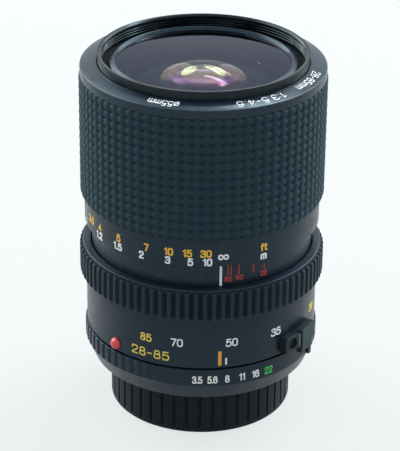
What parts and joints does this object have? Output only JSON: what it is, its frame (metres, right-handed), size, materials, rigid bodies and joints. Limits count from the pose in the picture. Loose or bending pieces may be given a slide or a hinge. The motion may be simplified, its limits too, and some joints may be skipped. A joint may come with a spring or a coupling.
{
  "type": "camera zoom lens",
  "caption": "Manual-focus zoom lens with rubber focus and zoom rings, distance and aperture scales, macro switch, nested cam barrels, iris and rear cap.",
  "frame": {"origin": "centre of the rear cap's bottom face, on the lens axis", "axes": "+Z along the lens axis towards the front glass, -Y towards the side with the index line"},
  "size_m": [0.0672, 0.0672, 0.103],
  "materials": {
    "black_barrel": "satin black anodised aluminium",
    "black_front": "satin black anodised aluminium",
    "rubber_focus": "matt moulded rubber",
    "rubber_zoom": "matt moulded rubber",
    "black_inner": "matt black",
    "cap_plastic": "satin moulded plastic",
    "switch_plastic": "knurled",
    "red_bead": "gloss",
    "mount_chrome": "satin chrome",
    "steel": "machined",
    "roller_brass": "turned",
    "iris_black": "blued spring steel",
    "coated_glass": "polished, coated"
  },
  "bodies": {
    "barrel": {"main_barrel": "black_barrel", "bayonet_mount": "mount_chrome", "mount_screws": "steel", "index_bead": "red_bead", "macro_base": "black_barrel", "macro_screw": "steel", "click_ball": "steel", "click_spring": "steel"},
    "zoom": {"zoom_ring": "black_barrel", "zoom_grip": "rubber_zoom", "zoom_drive_key": "steel", "cam_tube": "black_inner"},
    "front_carriage": {"front_carriage": "black_inner", "front_rollers": "roller_brass", "index_sleeve": "black_barrel"},
    "focus": {"focus_ring": "black_barrel", "focus_grip": "rubber_focus", "focus_drive_keys": "steel"},
    "front_barrel": {"front_barrel": "black_front", "name_ring": "black_front", "filter_ring": "black_front", "front_cell": "black_inner", "front_retaining_ring": "black_front", "front_cell_rings": "black_inner", "glass_1": "coated_glass", "glass_2": "coated_glass", "glass_3": "coated_glass"},
    "rear_carriage": {"rear_carriage": "black_inner", "rear_rollers": "roller_brass", "iris_housing": "black_inner", "upper_cell": "black_inner", "upper_cell_rings": "black_inner", "lower_cell": "black_inner", "lower_cell_rings": "black_inner", "glass_4": "coated_glass", "glass_5": "coated_glass", "glass_6": "coated_glass", "glass_7": "coated_glass", "glass_8": "coated_glass", "glass_9": "coated_glass", "glass_10": "coated_glass", "glass_11": "coated_glass", "glass_12": "coated_glass", "glass_13": "coated_glass"},
    "iris_drive": {"iris_drive_ring": "iris_black", "iris_link_rod": "steel"},
    "aperture": {"aperture_ring": "black_barrel", "aperture_link": "steel"},
    "macro_button": {"macro_slide": "switch_plastic"},
    "rear_cap": {"rear_cap": "cap_plastic"},
    "iris_blade_1": {"iris_blade_1": "iris_black"},
    "iris_blade_2": {"iris_blade_2": "iris_black"},
    "iris_blade_3": {"iris_blade_3": "iris_black"},
    "iris_blade_4": {"iris_blade_4": "iris_black"},
    "iris_blade_5": {"iris_blade_5": "iris_black"},
    "iris_blade_6": {"iris_blade_6": "iris_black"}
  },
  "joints": [
    {"name": "zoom_turn", "type": "hinge", "parent": "barrel", "child": "zoom", "pos_m": [0, 0, 0.044], "axis": [0, 0, 1], "range_deg": [-65, 38.3]},
    {"name": "front_zoom_travel", "type": "slide", "parent": "barrel", "child": "front_carriage", "axis": [0, 0, 1], "range_m": [-0.0052, 0.0031]},
    {"name": "rear_zoom_travel", "type": "slide", "parent": "barrel", "child": "rear_carriage", "axis": [0, 0, 1], "range_m": [-0.0088, 0.0052]},
    {"name": "focus_turn", "type": "hinge", "parent": "front_carriage", "child": "focus", "pos_m": [0, 0, 0.08], "axis": [0, 0, 1], "range_deg": [0, 127.5]},
    {"name": "focus_travel", "type": "slide", "parent": "focus", "child": "front_barrel", "axis": [0, 0, 1], "range_m": [0, 0.0063]},
    {"name": "aperture_turn", "type": "hinge", "parent": "barrel", "child": "aperture", "pos_m": [0, 0, 0.021], "axis": [0, 0, 1], "range_deg": [-22.2, 14.8]},
    {"name": "iris_drive_turn", "type": "hinge", "parent": "rear_carriage", "child": "iris_drive", "pos_m": [0, 0, 0.043], "axis": [0, 0, 1], "range_deg": [-22.4, 15]},
    {"name": "macro_button_slide", "type": "slide", "parent": "barrel", "child": "macro_button", "axis": [0, 0, 1], "range_m": [0, 0.002]},
    {"name": "rear_cap_twist", "type": "hinge", "parent": "barrel", "child": "rear_cap", "pos_m": [0, 0, 0.008], "axis": [0, 0, 1], "range_deg": [0, 54]},
    {"name": "iris_blade_1_swing", "type": "hinge", "parent": "rear_carriage", "child": "iris_blade_1", "pos_m": [0, -0.015, 0.042], "axis": [0, 0, 1], "range_deg": [-12.6, 18.8]},
    {"name": "iris_blade_2_swing", "type": "hinge", "parent": "rear_carriage", "child": "iris_blade_2", "pos_m": [0.01299, -0.0075, 0.042], "axis": [0, 0, 1], "range_deg": [-12.6, 18.8]},
    {"name": "iris_blade_3_swing", "type": "hinge", "parent": "rear_carriage", "child": "iris_blade_3", "pos_m": [0.01299, 0.0075, 0.042], "axis": [0, 0, 1], "range_deg": [-12.6, 18.8]},
    {"name": "iris_blade_4_swing", "type": "hinge", "parent": "rear_carriage", "child": "iris_blade_4", "pos_m": [0, 0.015, 0.042], "axis": [0, 0, 1], "range_deg": [-12.6, 18.8]},
    {"name": "iris_blade_5_swing", "type": "hinge", "parent": "rear_carriage", "child": "iris_blade_5", "pos_m": [-0.01299, 0.0075, 0.042], "axis": [0, 0, 1], "range_deg": [-12.6, 18.8]},
    {"name": "iris_blade_6_swing", "type": "hinge", "parent": "rear_carriage", "child": "iris_blade_6", "pos_m": [-0.01299, -0.0075, 0.042], "axis": [0, 0, 1], "range_deg": [-12.6, 18.8]}
  ],
  "couplings": [
    {"joint": "front_zoom_travel", "follows": "zoom_turn", "m_per_rad": 0.00445},
    {"joint": "rear_zoom_travel", "follows": "zoom_turn", "m_per_rad": 0.0076},
    {"joint": "focus_travel", "follows": "focus_turn", "m_per_rad": 0.00279},
    {"joint": "iris_drive_turn", "follows": "aperture_turn", "ratio": 1},
    {"joint": "iris_blade_1_swing", "follows": "aperture_turn", "ratio": -0.84},
    {"joint": "iris_blade_2_swing", "follows": "aperture_turn", "ratio": -0.84},
    {"joint": "iris_blade_3_swing", "follows": "aperture_turn", "ratio": -0.84},
    {"joint": "iris_blade_4_swing", "follows": "aperture_turn", "ratio": -0.84},
    {"joint": "iris_blade_5_swing", "follows": "aperture_turn", "ratio": -0.84},
    {"joint": "iris_blade_6_swing", "follows": "aperture_turn", "ratio": -0.84}
  ]
}
